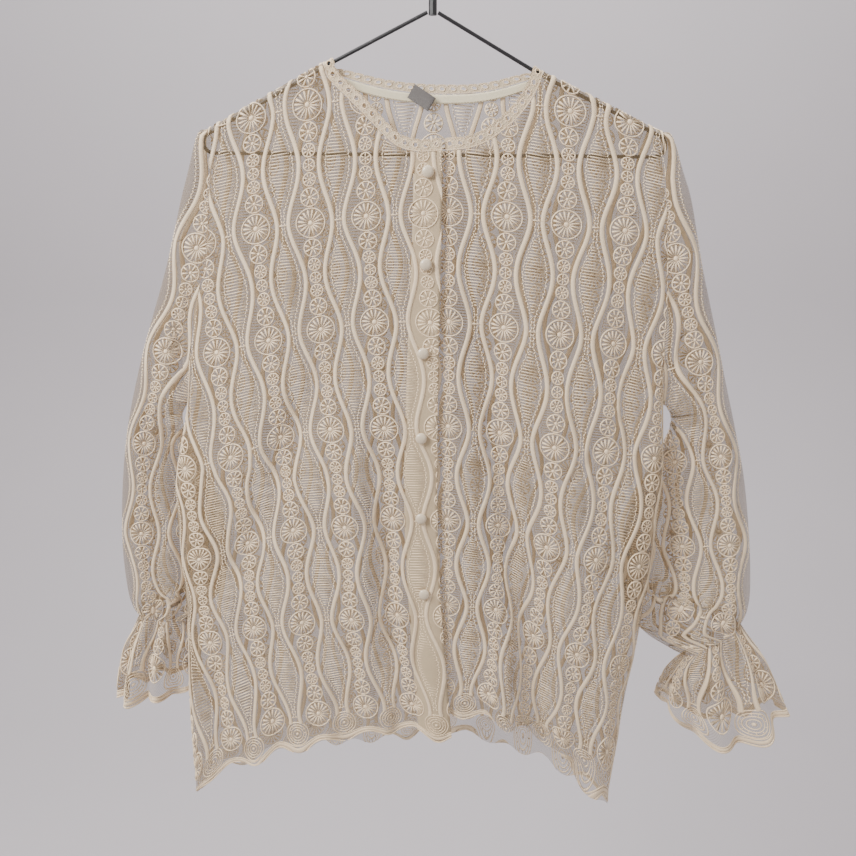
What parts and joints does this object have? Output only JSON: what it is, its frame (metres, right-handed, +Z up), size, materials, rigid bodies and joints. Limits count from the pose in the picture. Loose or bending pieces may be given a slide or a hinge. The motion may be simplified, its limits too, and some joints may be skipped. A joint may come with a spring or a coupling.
{
  "type": "blouse on wire hanger",
  "caption": "Sheer embroidered tulle blouse with a button front, full sleeves and frilled cuffs, hanging on a plain black wire hanger.",
  "frame": {"origin": "where a rail carries the hook: the underside of the hook's top arc", "axes": "+X to the viewer's right, -Y the front, +Z up"},
  "size_m": [0.7022, 0.0994, 0.8705],
  "materials": {
    "lace": "sheer cream net with satin embroidery",
    "band": "doubled net with satin embroidery",
    "trim": "cotton eyelet lace",
    "tape": "plain woven tape",
    "label": "plain grey ribbon",
    "button": "pearly",
    "wire": "satin black coating"
  },
  "bodies": {
    "root": {"front_right": "lace", "front_left": "lace", "back": "lace", "sleeve_right": "lace", "sleeve_left": "lace", "frill_right": "lace", "frill_left": "lace", "button_band": "band", "neck_trim": "trim", "neck_tape": "tape", "neck_label": "label", "button_1": "button", "button_2": "button", "button_3": "button", "button_4": "button", "button_5": "button", "button_6": "button", "hanger_hook": "wire", "hanger_arm_right": "wire", "hanger_arm_left": "wire", "hanger_bar": "wire"}
  },
  "joints": []
}
